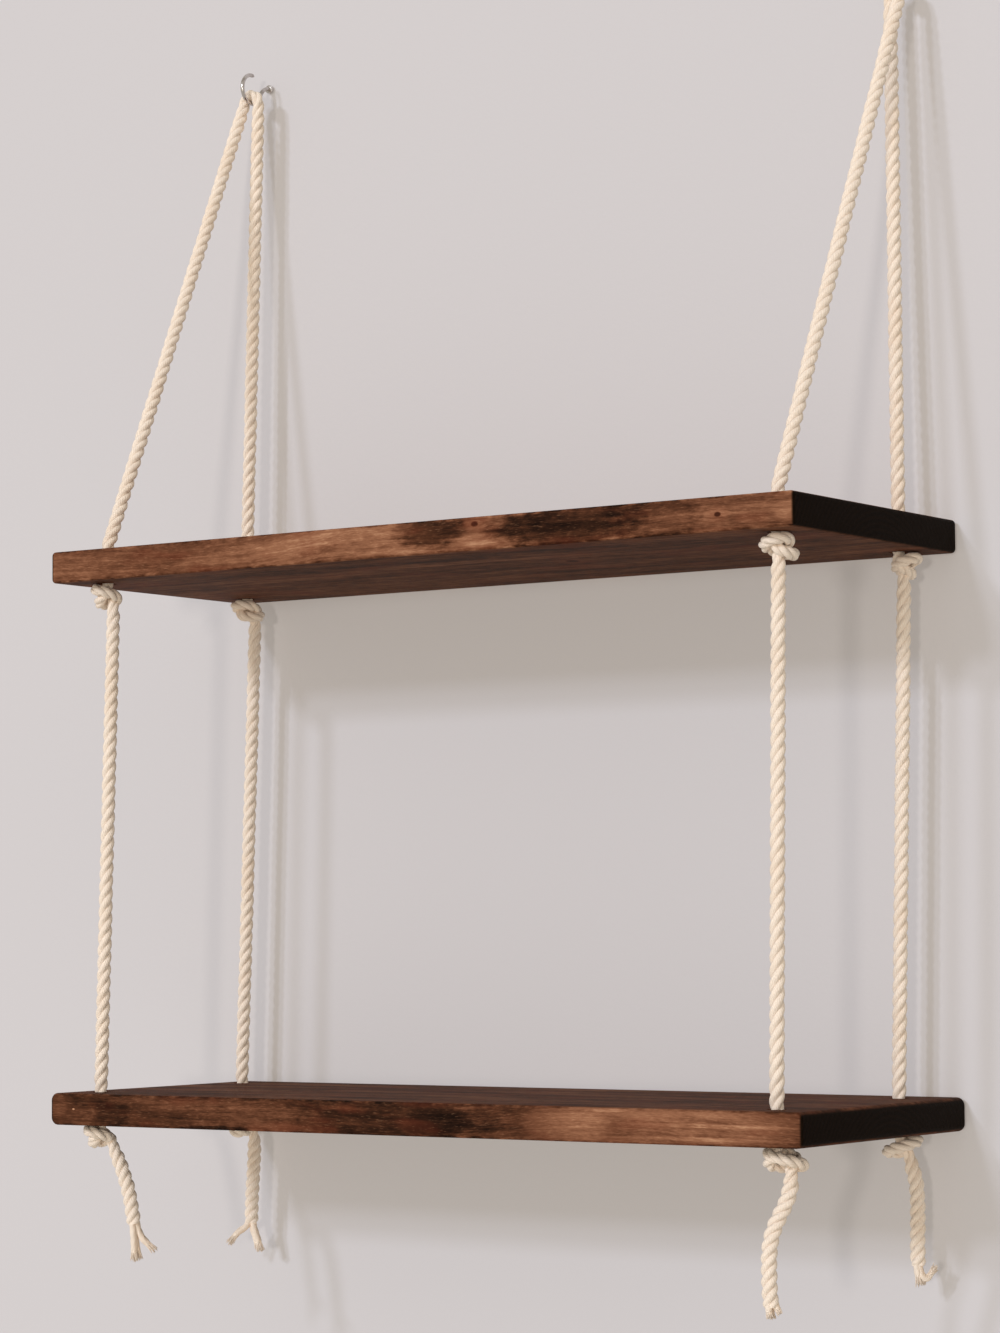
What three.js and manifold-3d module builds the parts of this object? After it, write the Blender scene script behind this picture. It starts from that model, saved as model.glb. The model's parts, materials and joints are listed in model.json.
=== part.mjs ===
// A two-tier shelf that hangs on ropes. Two solid boards, one above the other, each have four
// upright holes. On each side one rope runs up through the front of both boards, over a screw
// hook in the wall, and down through the back of both. An overhand knot under each hole
// carries the board, and the four rope ends hang free below.
//
// Millimetres. X runs along the boards, the front faces -Y, Z is up. The wall's face is y = 0,
// and the origin lies on it, midway between the two hooks, at the height of their screws.

import * as THREE from 'three';
import { mergeVertices } from 'three/addons/utils/BufferGeometryUtils.js';
import Module from 'manifold-3d';

const wasm = await Module();
wasm.setup();

// Driving dimensions

// boards
const boardLength = 518;
const boardDepth = 184;
const boardThickness = 19;
const boardEase = 1.5;          // rounding of the long edges
const upperEndRound = 2.5;      // rounding of the upper board's ends, seen from the front
const lowerEndRound = 4.5;      // the lower board's ends are sanded rounder
const holeDiameter = 10;
const holeInset = 24;           // from the board's end and from its long edge to the hole's middle
const lowerHoleShift = 5;       // the lower board's holes are this much nearer its left end
const wallGap = 2;              // from the wall to the boards' back edges
const hangHeight = 316;         // from the screws down to the upper board's top
const tierSpacing = 326;        // from the upper board's top to the lower board's top

// rope
const ropeDiameter = 8;
const knotRopeDiameter = 5.6;   // drawn tight, the rope is thinner inside a knot
const knotGap = 0.45;           // between the strands of a knot
const knotLead = 7.3;           // straight rope below a knot, up to where the next run starts
const knotTaper = 5.5;          // length over which the rope thins into a knot
const ropeStandUp = 3;          // height above a board at which the rope above it bends
const bightArm = 7;             // rope from the hook's wire down to where the hangers start
const bendGap = 0.35;           // between two runs of rope where they bend
const swayGap = 0.85;           // the same under a hook, whose two legs sway about one line
const seatGap = 0.3;            // between pieces that rest on each other

// screw hooks
const wireDiameter = 2.6;
const ringPlay = 8;             // how much wider the ring is than the rope
const hookReach = 20;           // from the wall to the ring's middle
const hookSag = 3.6;            // from the screw's height down to the ring's middle
const ringStart = -20;          // where the neck meets the ring, in degrees from its back
const ringEnd = -280;           // where the ring's tip is, past its top
const collarDiameter = 5.4;
const collarLength = 2.4;
const screwDiameter = 3.4;
const screwLength = 17;
const shankLength = 3;          // smooth part of the screw behind the collar
const threadPitch = 2.2;
const threadDepth = 0.55;
const threadShares = { rise: 0.25, crest: 0.5, fall: 0.75, point: 1 };   // of the pitch

// Places worked out from them

const ropeRadius = ropeDiameter / 2;
const knotRopeRadius = knotRopeDiameter / 2;
const wireRadius = wireDiameter / 2;
const holeX = boardLength / 2 - holeInset;
const frontHoleY = -wallGap - boardDepth + holeInset;
const backHoleY = -wallGap - holeInset;
const upperTop = -hangHeight;
const lowerTop = upperTop - tierSpacing;

const ringRadius = (ropeDiameter + ringPlay) / 2 + wireRadius;
const saddle = new THREE.Vector3(0, -hookReach, -hookSag - ringRadius);  // wire under the rope
const bightRadius = wireRadius + seatGap + ropeRadius;
const bightBend = saddle.z - bightArm;      // height at which both hangers start

// The knot's middle line is a sum of a few sines and cosines, in units of the knot's pitch.
// It has the shape of a real overhand knot: down the middle, round, and out through its own
// loop. Its two ends lie on its axis and run along it.
const knotShares = {
  x: [-0.3, -1.1, 0.07],        // first, second and fourth sine across
  y: [0.19, 0.84, 0.46],        // first, second and third cosine from back to front
  z: [-1.0, -0.14, 0.05],       // first, second and third sine upwards
  rise: 1.06,                   // half the height between the two ends
  loops: 0.65,                  // half the height of the loops' middle line
  spacing: 1.07,                // least distance between two strands' middle lines
  apart: 1.7,                   // rope between two points that makes them separate strands
};
const knotPitch = (knotRopeDiameter + knotGap) / knotShares.spacing;
const knotHalf = knotShares.rise * knotPitch;
// The loops lie against the board's underside, so the knot's middle is this far below it.
const knotMiddleDrop = seatGap + knotRopeRadius + knotShares.loops * knotPitch;
const knotEndDrop = knotMiddleDrop + knotHalf + knotLead;       // where the next run starts

// How each knot is tied: its turn about its axis in degrees, and its hand, 1 or -1.
const knotTies = {
  left_front: { upper: [285, 1], lower: [285, 1] },
  left_back: { upper: [30, -1], lower: [60, 1] },
  right_front: { upper: [90, -1], lower: [225, 1] },
  right_back: { upper: [120, -1], lower: [200, -1] },
};

// The free ends, as they hang: millimetres across and down from the middle of the half-ball
// below each lower knot. They start straight down and curl in upright planes turned by
// tailPlane from the boards' front. The prongs are the opened strands at an end.
const tailPlane = THREE.MathUtils.degToRad(34);
const tailLead = 2.5;           // straight rope at a free end's start
const tailRoutes = {
  left_front: {
    run: [[6.8, 13], [14, 21], [18.9, 30], [20, 41]],
    prongs: [[[20, 38], [19.4, 47], [18.2, 57]], [[20, 38], [23.5, 46], [29.5, 53]]],
  },
  left_back: {
    run: [[4.6, 13], [7.2, 23], [6.9, 42], [5.4, 51.5]],
    prongs: [[[5.6, 49], [0.4, 55], [-5.1, 58.5], [-4.6, 62]], [[5.6, 49], [8.6, 58], [12.1, 65]]],
  },
  right_front: {
    run: [[2.4, 14.5], [-1.6, 25], [-4.7, 36], [-5.3, 47], [-5.1, 58], [-3.9, 68.5]],
    prongs: [[[-4.4, 64.8], [-1.4, 66.5], [0.6, 65.5]]],
  },
  right_back: {
    run: [[5.2, 14], [9, 24.5], [10.1, 36], [10, 46], [11.5, 55], [16, 61.5]],
    prongs: [],
  },
};
const prongRadiusShare = 0.52;  // of the rope's radius

// Counts
const ropeSides = 8;
const wireSides = 8;
const turnedSides = 12;
const knotSteps = 34;
const bightSteps = 8;
const domeSteps = 2;
const neckSteps = 6;
const ringSteps = 20;

const woodMaterial = { color: 0x70482f, roughness: 0.55, metalness: 0 };
const ropeMaterial = { color: 0xe2d5c1, roughness: 0.95, metalness: 0 };
const steelMaterial = { color: 0xb9b5b1, roughness: 0.22, metalness: 1 };

// Shapes

// A closed tube through stations { at, radius }. Each end closes on a tip, which is the
// station's own middle for a flat end, or lies beyond it for a round one.
function sweep(stations, sides, startTip = stations[0].at, endTip = stations.at(-1).at) {
  const places = [];
  const faces = [];
  const last = stations.length - 1;
  const along = stations.map((station, i) => new THREE.Vector3()
    .subVectors(stations[Math.min(i + 1, last)].at, stations[Math.max(i - 1, 0)].at).normalize());
  const across = new THREE.Vector3(1, 0, 0);
  if (Math.abs(across.dot(along[0])) > 0.9) across.set(0, 1, 0);
  across.addScaledVector(along[0], -across.dot(along[0])).normalize();
  const turn = new THREE.Quaternion();
  stations.forEach(({ at, radius }, i) => {
    if (i > 0) across.applyQuaternion(turn.setFromUnitVectors(along[i - 1], along[i]));
    across.addScaledVector(along[i], -across.dot(along[i])).normalize();
    const third = new THREE.Vector3().crossVectors(along[i], across);
    for (let j = 0; j < sides; j++) {
      const angle = (2 * Math.PI * j) / sides;
      places.push(at.clone()
        .addScaledVector(across, radius * Math.cos(angle))
        .addScaledVector(third, radius * Math.sin(angle)));
    }
  });
  const startIndex = places.push(startTip.clone()) - 1;
  const endIndex = places.push(endTip.clone()) - 1;
  for (let j = 0; j < sides; j++) {
    const next = (j + 1) % sides;
    faces.push(startIndex, next, j, endIndex, last * sides + j, last * sides + next);
    for (let i = 0; i < last; i++) {
      const [a, b] = [i * sides + j, i * sides + next];
      faces.push(a, b, b + sides, a, b + sides, a + sides);
    }
  }
  const geometry = new THREE.BufferGeometry().setFromPoints(places);
  geometry.setIndex(faces);
  return geometry;
}

// Stations from the rim of a half-ball to near its pole. middle is the ball's middle, and out
// is the unit direction in which it bulges.
function domeStations(middle, out, radius) {
  return Array.from({ length: domeSteps }, (_, i) => {
    const angle = (Math.PI / 2) * ((i + 1) / (domeSteps + 1));
    return {
      at: middle.clone().addScaledVector(out, radius * Math.sin(angle)),
      radius: radius * Math.cos(angle),
    };
  });
}

// A rope through stations whose two ends are half-balls, so that the next run can bend there.
function domedRope(stations) {
  const [first, second] = stations;
  const [beforeLast, last] = stations.slice(-2);
  const back = new THREE.Vector3().subVectors(first.at, second.at).normalize();
  const ahead = new THREE.Vector3().subVectors(last.at, beforeLast.at).normalize();
  return sweep(
    [
      ...domeStations(first.at, back, first.radius).reverse(),
      ...stations,
      ...domeStations(last.at, ahead, last.radius),
    ],
    ropeSides,
    first.at.clone().addScaledVector(back, first.radius),
    last.at.clone().addScaledVector(ahead, last.radius),
  );
}

// A straight run between the middles of two half-balls, with a gap to each.
function straightRope(top, bottom, topGap) {
  const down = new THREE.Vector3().subVectors(bottom, top).normalize();
  return sweep([
    { at: top.clone().addScaledVector(down, ropeRadius + topGap), radius: ropeRadius },
    { at: bottom.clone().addScaledVector(down, -ropeRadius - bendGap), radius: ropeRadius },
  ], ropeSides);
}

// The knot's middle line, t from 0 at its top to 1 at its bottom, about the knot's middle.
function knotPoint(t, hand = 1) {
  const s = Math.PI * (1 - 2 * t);
  const { x: [x1, x2, x4], y: [y1, y2, y3], z: [z1, z2, z3], rise } = knotShares;
  const x3 = (2 * x2 - x1 + 4 * x4) / 3;    // makes both ends run along the axis
  const x = x1 * Math.sin(s) + x2 * Math.sin(2 * s) + x3 * Math.sin(3 * s) + x4 * Math.sin(4 * s);
  return new THREE.Vector3(
    hand * x,
    y1 * (Math.cos(s) + 1) + y2 * (Math.cos(2 * s) - 1) + y3 * (Math.cos(3 * s) + 1),
    rise * (1 - 2 * t) + z1 * Math.sin(s) + z2 * Math.sin(2 * s) + z3 * Math.sin(3 * s),
  ).multiplyScalar(knotPitch);
}

// The rope from just above a board, down its hole, through the knot that holds the board, to
// where the next run starts.
function knotGeometry(boardTop, [turnDegrees, hand]) {
  const underside = boardTop - boardThickness;
  const middle = underside - knotMiddleDrop;
  const turned = new THREE.Matrix4().makeRotationZ(THREE.MathUtils.degToRad(turnDegrees));
  const onAxis = (z, radius) => ({ at: new THREE.Vector3(0, 0, z), radius });
  const body = Array.from({ length: knotSteps + 1 }, (_, i) => ({
    at: knotPoint(i / knotSteps, hand).applyMatrix4(turned).add(new THREE.Vector3(0, 0, middle)),
    radius: knotRopeRadius,
  }));
  return domedRope([
    onAxis(boardTop + ropeStandUp, ropeRadius),
    onAxis(middle + knotHalf + knotTaper, ropeRadius),
    ...body,
    onAxis(underside - knotEndDrop, ropeRadius),
  ]);
}

// Least clear distance between strands of the knot that aren't next to each other along it.
function knotClearance() {
  const fine = knotSteps * 4;
  const points = Array.from({ length: fine + 1 }, (_, i) => knotPoint(i / fine));
  const length = [0];
  points.slice(1).forEach((p, i) => length.push(length[i] + p.distanceTo(points[i])));
  let least = Infinity;
  const apart = knotShares.apart * knotPitch;
  points.forEach((p, i) => points.slice(i + 1).forEach((q, k) => {
    if (length[i + 1 + k] - length[i] > apart) least = Math.min(least, p.distanceTo(q));
  }));
  return least - knotRopeDiameter;
}

// The loop over a hook's wire. The front hanger leaves on the outer side.
function bightStations(outward, frontFoot, backFoot) {
  const stations = [];
  for (let i = 0; i <= bightSteps; i++) {
    const angle = (Math.PI * i) / bightSteps;
    stations.push({
      at: saddle.clone().add(new THREE.Vector3(
        outward * bightRadius * Math.cos(angle), 0, bightRadius * Math.sin(angle))),
      radius: ropeRadius,
    });
  }
  const armEnd = (start, foot) => {
    const down = new THREE.Vector3().subVectors(foot, start).normalize();
    return start.clone().addScaledVector(down, (bightBend - start.z) / down.z);
  };
  stations.unshift({ at: armEnd(stations[0].at, frontFoot), radius: ropeRadius });
  stations.push({ at: armEnd(stations.at(-1).at, backFoot), radius: ropeRadius });
  return stations;
}

function tailGeometry({ run, prongs }) {
  const place = ([across, down]) => new THREE.Vector3(
    across * Math.cos(tailPlane), across * Math.sin(tailPlane), -down);
  const tube = (route, radius) => {
    const curve = new THREE.CatmullRomCurve3(route.map(place));
    return sweep(curve.getPoints(2 * route.length).map((at) => ({ at, radius })), ropeSides);
  };
  const top = ropeRadius + bendGap;
  return joined([
    tube([[0, top], [0, top + tailLead], ...run], ropeRadius),
    ...prongs.map((prong) => tube(prong, ropeRadius * prongRadiusShare)),
  ]);
}

function solidOf(geometry) {
  const bare = new THREE.BufferGeometry();
  bare.setAttribute('position', geometry.getAttribute('position').clone());
  if (geometry.index) bare.setIndex(geometry.index.clone());
  const merged = mergeVertices(bare);
  return new wasm.Manifold(new wasm.Mesh({
    numProp: 3,
    vertProperties: new Float32Array(merged.getAttribute('position').array),
    triVerts: new Uint32Array(merged.index.array),
  }));
}

function geometryOf(solid) {
  const { vertProperties, triVerts } = solid.getMesh();
  const geometry = new THREE.BufferGeometry();
  geometry.setAttribute('position', new THREE.BufferAttribute(vertProperties, 3));
  geometry.setIndex(new THREE.BufferAttribute(triVerts, 1));
  return geometry;
}

const joined = (shapes) => geometryOf(shapes.map(solidOf).reduce((whole, next) => whole.add(next)));

const less = (shape, cuts) => geometryOf(
  cuts.map(solidOf).reduce((whole, next) => whole.subtract(next), solidOf(shape)));

// A board with eased edges, rounder ends and four holes, which holeShift moves to the left. Its
// back edge is wallGap from the wall.
function boardGeometry(top, endRound, holeShift) {
  const [x, z] = [boardLength / 2, boardThickness];
  const outline = new THREE.Shape();
  outline.moveTo(-x + endRound, -z);
  outline.lineTo(x - endRound, -z);
  outline.absarc(x - endRound, -z + endRound, endRound, -Math.PI / 2, 0);
  outline.lineTo(x, -endRound);
  outline.absarc(x - endRound, -endRound, endRound, 0, Math.PI / 2);
  outline.lineTo(-x + endRound, 0);
  outline.absarc(-x + endRound, -endRound, endRound, Math.PI / 2, Math.PI);
  outline.lineTo(-x, -z + endRound);
  outline.absarc(-x + endRound, -z + endRound, endRound, Math.PI, 1.5 * Math.PI);
  const slab = new THREE.ExtrudeGeometry(outline, {
    depth: boardDepth - 2 * boardEase,
    bevelThickness: boardEase,
    bevelSize: boardEase,
    bevelOffset: -boardEase,
    bevelSegments: 2,
    curveSegments: 4,
  });
  slab.rotateX(Math.PI / 2);
  slab.translate(0, -wallGap - boardEase, top);
  const drill = new THREE.CylinderGeometry(
    holeDiameter / 2, holeDiameter / 2, 2 * boardThickness, turnedSides);
  drill.rotateX(Math.PI / 2);
  const holes = [-holeX, holeX].flatMap((holeAt) => [frontHoleY, backHoleY].map(
    (y) => drill.clone().translate(holeAt - holeShift, y, top - boardThickness / 2)));
  return less(slab, holes);
}

// The hook: a threaded screw with a collar against the wall, and a wire that bows down into a
// ring, open at the top. Its screw lies along Y, with the wall's face at y = 0.
function hookGeometry() {
  const crest = screwDiameter / 2;
  const core = crest - threadDepth;
  const turns = Math.floor((screwLength - shankLength) / threadPitch - threadShares.point);
  const along = (turn) => shankLength + turn * threadPitch;
  const thread = Array.from({ length: turns }, (_, i) => [
    [core, along(i + threadShares.rise)],
    [crest, along(i + threadShares.crest)],
    [core, along(i + threadShares.fall)]]).flat();
  const turned = new THREE.LatheGeometry([
    [0, -collarLength], [collarDiameter / 2, -collarLength], [collarDiameter / 2, 0],
    [crest, 0], [crest, shankLength], ...thread, [core, along(turns)], [0, screwLength],
  ].map(([radius, y]) => new THREE.Vector2(radius, y)), turnedSides);

  const onRing = (degrees) => {
    const angle = THREE.MathUtils.degToRad(degrees);
    return new THREE.Vector3(0, -hookReach + ringRadius * Math.cos(angle),
      -hookSag + ringRadius * Math.sin(angle));
  };
  const begin = onRing(ringStart);
  const slope = Math.tan(THREE.MathUtils.degToRad(ringStart));
  const neck = new THREE.QuadraticBezierCurve3(
    new THREE.Vector3(0, -collarLength / 2, 0),
    new THREE.Vector3(0, begin.y + begin.z * slope, 0),
    begin,
  );
  const points = neck.getPoints(neckSteps);
  for (let i = 1; i <= ringSteps; i++) {
    points.push(onRing(THREE.MathUtils.lerp(ringStart, ringEnd, i / ringSteps)));
  }
  const wire = sweep(points.map((at) => ({ at, radius: wireRadius })), wireSides);
  return joined([turned, wire]);
}

// The shelf

const shelf = new THREE.Group();

function add(name, geometry, look, x = 0, y = 0, z = 0) {
  geometry.deleteAttribute('uv');
  geometry.computeVertexNormals();
  const mesh = new THREE.Mesh(geometry, new THREE.MeshStandardMaterial(look));
  mesh.name = name;
  mesh.position.set(x, y, z);
  shelf.add(mesh);
}

add('upper_board', boardGeometry(upperTop, upperEndRound, 0), woodMaterial);
add('lower_board', boardGeometry(lowerTop, lowerEndRound, lowerHoleShift), woodMaterial);

for (const [side, outward] of [['left', -1], ['right', 1]]) {
  const x = outward * holeX;
  const lowerX = x - lowerHoleShift;
  const foot = (y) => new THREE.Vector3(0, y, upperTop + ropeStandUp);
  const bight = bightStations(outward, foot(frontHoleY), foot(backHoleY));
  const starts = { front: bight[0].at, back: bight.at(-1).at };

  add(`${side}_hook`, hookGeometry(), steelMaterial, x);
  add(`${side}_bight`, domedRope(bight), ropeMaterial, x);

  for (const [row, y] of [['front', frontHoleY], ['back', backHoleY]]) {
    const corner = `${side}_${row}`;
    const hanger = straightRope(starts[row], foot(y), swayGap);
    add(`${corner}_hanger`, hanger, ropeMaterial, x);

    const ties = knotTies[corner];
    add(`${corner}_upper_knot`, knotGeometry(upperTop, ties.upper), ropeMaterial, x, y);
    const drop = straightRope(
      new THREE.Vector3(0, 0, upperTop - boardThickness - knotEndDrop),
      new THREE.Vector3(-lowerHoleShift, 0, lowerTop + ropeStandUp), bendGap);
    add(`${corner}_drop_rope`, drop, ropeMaterial, x, y);

    add(`${corner}_lower_knot`, knotGeometry(lowerTop, ties.lower), ropeMaterial, lowerX, y);
    const tailStart = lowerTop - boardThickness - knotEndDrop;
    add(`${corner}_tail`, tailGeometry(tailRoutes[corner]), ropeMaterial, lowerX, y, tailStart);
  }
}

console.log(`knot: least gap between strands ${knotClearance().toFixed(2)} mm`);

export default shelf;
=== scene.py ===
"""A two-tier rope shelf: cotton rope and its knots, two stained boards and two screw hooks."""

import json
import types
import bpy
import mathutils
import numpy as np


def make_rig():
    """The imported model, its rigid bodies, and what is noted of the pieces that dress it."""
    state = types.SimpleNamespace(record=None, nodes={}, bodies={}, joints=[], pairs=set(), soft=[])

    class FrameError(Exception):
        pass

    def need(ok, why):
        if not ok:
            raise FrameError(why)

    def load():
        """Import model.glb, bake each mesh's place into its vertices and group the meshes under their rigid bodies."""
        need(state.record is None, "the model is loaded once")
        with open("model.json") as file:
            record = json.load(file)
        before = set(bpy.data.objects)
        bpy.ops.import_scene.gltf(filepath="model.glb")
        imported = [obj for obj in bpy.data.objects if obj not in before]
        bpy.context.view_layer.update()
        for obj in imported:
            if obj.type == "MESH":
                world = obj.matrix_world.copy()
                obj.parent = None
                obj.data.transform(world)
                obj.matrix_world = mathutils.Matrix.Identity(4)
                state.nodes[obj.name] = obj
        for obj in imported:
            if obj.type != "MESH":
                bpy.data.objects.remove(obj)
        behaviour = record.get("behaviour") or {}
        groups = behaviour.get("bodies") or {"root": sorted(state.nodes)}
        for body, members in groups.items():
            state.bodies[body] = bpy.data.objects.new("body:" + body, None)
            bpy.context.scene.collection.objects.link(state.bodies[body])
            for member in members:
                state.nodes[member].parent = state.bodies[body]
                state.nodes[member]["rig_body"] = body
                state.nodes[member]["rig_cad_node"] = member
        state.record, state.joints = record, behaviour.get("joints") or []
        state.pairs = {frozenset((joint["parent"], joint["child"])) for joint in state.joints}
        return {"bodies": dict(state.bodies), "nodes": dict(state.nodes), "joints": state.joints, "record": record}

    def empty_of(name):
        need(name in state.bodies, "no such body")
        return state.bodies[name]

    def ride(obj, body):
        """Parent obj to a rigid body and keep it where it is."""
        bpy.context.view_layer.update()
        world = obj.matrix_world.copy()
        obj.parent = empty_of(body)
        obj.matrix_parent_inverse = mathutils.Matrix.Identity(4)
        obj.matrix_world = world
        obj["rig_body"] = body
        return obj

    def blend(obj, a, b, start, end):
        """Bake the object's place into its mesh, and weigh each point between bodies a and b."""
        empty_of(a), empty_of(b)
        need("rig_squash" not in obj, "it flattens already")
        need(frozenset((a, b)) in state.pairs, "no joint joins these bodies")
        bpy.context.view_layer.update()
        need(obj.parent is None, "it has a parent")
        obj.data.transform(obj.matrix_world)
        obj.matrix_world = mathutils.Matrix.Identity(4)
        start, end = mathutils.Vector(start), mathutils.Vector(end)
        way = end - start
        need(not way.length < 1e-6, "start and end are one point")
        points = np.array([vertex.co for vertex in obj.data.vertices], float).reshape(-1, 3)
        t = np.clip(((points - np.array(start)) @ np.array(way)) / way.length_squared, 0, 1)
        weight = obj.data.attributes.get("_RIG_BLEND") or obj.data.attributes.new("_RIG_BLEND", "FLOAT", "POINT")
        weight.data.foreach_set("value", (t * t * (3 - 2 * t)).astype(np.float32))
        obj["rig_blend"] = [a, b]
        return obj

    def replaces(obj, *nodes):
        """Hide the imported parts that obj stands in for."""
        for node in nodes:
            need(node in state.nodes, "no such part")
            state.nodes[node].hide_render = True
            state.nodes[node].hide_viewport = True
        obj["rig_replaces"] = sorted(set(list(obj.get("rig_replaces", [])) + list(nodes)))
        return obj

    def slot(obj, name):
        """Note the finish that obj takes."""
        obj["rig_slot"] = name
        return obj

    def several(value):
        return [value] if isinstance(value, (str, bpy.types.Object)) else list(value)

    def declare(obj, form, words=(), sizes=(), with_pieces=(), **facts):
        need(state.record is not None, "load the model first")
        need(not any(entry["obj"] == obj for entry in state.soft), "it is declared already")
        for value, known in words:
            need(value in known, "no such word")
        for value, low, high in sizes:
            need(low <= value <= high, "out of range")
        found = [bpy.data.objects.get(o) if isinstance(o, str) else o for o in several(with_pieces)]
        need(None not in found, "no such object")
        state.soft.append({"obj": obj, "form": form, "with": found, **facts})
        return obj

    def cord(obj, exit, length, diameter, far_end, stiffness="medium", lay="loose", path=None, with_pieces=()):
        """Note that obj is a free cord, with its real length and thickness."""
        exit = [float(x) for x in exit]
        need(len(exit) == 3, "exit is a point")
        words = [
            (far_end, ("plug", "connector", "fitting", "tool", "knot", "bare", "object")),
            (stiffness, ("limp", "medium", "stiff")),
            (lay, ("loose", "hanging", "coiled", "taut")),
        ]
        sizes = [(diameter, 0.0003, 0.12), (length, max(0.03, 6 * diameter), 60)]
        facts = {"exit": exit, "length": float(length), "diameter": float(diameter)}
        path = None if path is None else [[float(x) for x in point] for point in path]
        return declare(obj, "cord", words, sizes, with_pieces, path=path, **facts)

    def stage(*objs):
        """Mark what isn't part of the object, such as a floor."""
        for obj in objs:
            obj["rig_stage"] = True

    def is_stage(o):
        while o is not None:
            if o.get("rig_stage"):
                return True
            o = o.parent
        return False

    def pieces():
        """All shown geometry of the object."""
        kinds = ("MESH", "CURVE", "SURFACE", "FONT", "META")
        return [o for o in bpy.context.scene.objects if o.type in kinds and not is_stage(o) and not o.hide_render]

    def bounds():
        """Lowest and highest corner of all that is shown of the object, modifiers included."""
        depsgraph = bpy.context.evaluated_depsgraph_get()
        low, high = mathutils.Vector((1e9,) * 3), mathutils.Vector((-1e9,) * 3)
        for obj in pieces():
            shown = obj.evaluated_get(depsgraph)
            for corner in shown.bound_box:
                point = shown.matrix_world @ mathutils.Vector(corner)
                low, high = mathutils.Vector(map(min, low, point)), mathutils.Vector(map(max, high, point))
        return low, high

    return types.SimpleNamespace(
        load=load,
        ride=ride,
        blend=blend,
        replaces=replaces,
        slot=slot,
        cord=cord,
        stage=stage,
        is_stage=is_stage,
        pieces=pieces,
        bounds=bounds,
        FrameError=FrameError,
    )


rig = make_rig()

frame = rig.load()

import json
import math
import random

import bmesh
import bpy
import numpy as np
from mathutils import Matrix, Vector, noise

cad_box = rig.bounds()
scene = bpy.context.scene
scene.view_settings.view_transform = "Standard"
MM = 0.001

# Camera, at the photograph's viewpoint
EYE = Vector((1.20937, -1.84338, -0.54324))
RIGHT = Vector((0.82387, 0.56673, -0.00750))
UP = Vector((0.04625, -0.05403, 0.99747))
LENS, SENSOR = 98.29, 36        # in millimetres
NEAR, FAR = 0.05, 20            # in metres

camera_data = bpy.data.cameras.new("camera")
camera_data.lens, camera_data.sensor_width = LENS, SENSOR
camera_data.clip_start, camera_data.clip_end = NEAR, FAR
camera = bpy.data.objects.new("camera", camera_data)
scene.collection.objects.link(camera)
away = UP.cross(RIGHT).normalized()
axes = Matrix((RIGHT, away.cross(RIGHT) * -1, away * -1)).transposed()
camera.matrix_world = Matrix.Translation(EYE) @ axes.to_4x4()
scene.camera = camera

# Sizes, in millimetres, and the places that follow from them
BOARD_LENGTH, BOARD_DEPTH, BOARD_THICK = 518, 184, 19
WALL_GAP, HOLE_INSET, HOLE_WIDE = 2, 24, 10
LOWER_SHIFT = 5                 # the lower board's holes are this much nearer its left end
UPPER_TOP, TIER_STEP = -316, 326
LOWER_TOP = UPPER_TOP - TIER_STEP
ROPE = 8
TAUT_ROPE, FREE_ROPE = 8.5, 9   # over its fibres, and loose at a free end
HOLE_ROPE, KNOT_ROPE = 7.7, 6.9 # squeezed in a hole, and drawn tight in a knot
HOOK_ROPE, HOOK_GAP = 7.5, 0.3  # pressed over a hook, and its gap to the hook's wire
HOOK_REACH, HOOK_SAG = 20, 3.6  # from the wall and below the screw to the middle of a hook's ring
RING, WIRE = 9.3, 2.6           # the ring's radius, and the thickness of its wire
KNOT_DROP = 20.069              # from a board's underside to where the rope under its knot swings
RUN_END, KNOT_START = 7, 7.9    # below a board's top: a run's end in its hole, a knot's start
HOLE_X = BOARD_LENGTH / 2 - HOLE_INSET
ROW_Y = {"front": -WALL_GAP - BOARD_DEPTH + HOLE_INSET, "back": -WALL_GAP - HOLE_INSET}
FRONT_Y = -WALL_GAP - BOARD_DEPTH
SIDES = {"left": -1, "right": 1}
CORNERS = [(side, row) for side in SIDES for row in ROW_Y]
SADDLE = -HOOK_SAG - RING
BEND = WIRE / 2 + HOOK_GAP + ROPE / 2
CREASE = {"rope": 38, "board": 32, "metal": 35}     # degrees above which an edge stays sharp
NEARLY = 0.9                    # of a unit length: a direction that counts as along an axis


def at(*place):
    """The same numbers in metres."""
    return tuple(v * MM for v in place)


def pick(*chosen):
    """Selects these objects and nothing else, and makes the first one active."""
    bpy.ops.object.select_all(action="DESELECT")
    for piece in chosen:
        piece.select_set(True)
    bpy.context.view_layer.objects.active = chosen[0]


def settled():
    """The object just added, with its place, turn and scale moved into its mesh."""
    piece = bpy.context.object
    pick(piece)
    bpy.ops.object.transform_apply(location=True, rotation=True, scale=True)
    return piece


def choose(piece, kind, wanted):
    """Selects those vertices, edges or faces of a piece in edit mode that are wanted."""
    bpy.ops.mesh.select_mode(type=kind)
    bpy.ops.mesh.select_all(action="DESELECT")
    shape = bmesh.from_edit_mesh(piece.data)
    for part in {"VERT": shape.verts, "EDGE": shape.edges, "FACE": shape.faces}[kind]:
        if wanted(part):
            part.select_set(True)
    shape.select_flush_mode()
    bmesh.update_edit_mesh(piece.data)


def extrude(*move):
    """Extrudes what is selected in edit mode by these millimetres."""
    bpy.ops.mesh.extrude_region_move(TRANSFORM_OT_translate={"value": at(*move)})


def joined(name, *pieces):
    """Several mesh objects made one."""
    pick(*pieces)
    if len(pieces) > 1:
        bpy.ops.object.join()
    piece = bpy.context.object
    piece.name = piece.data.name = name
    return piece


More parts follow.
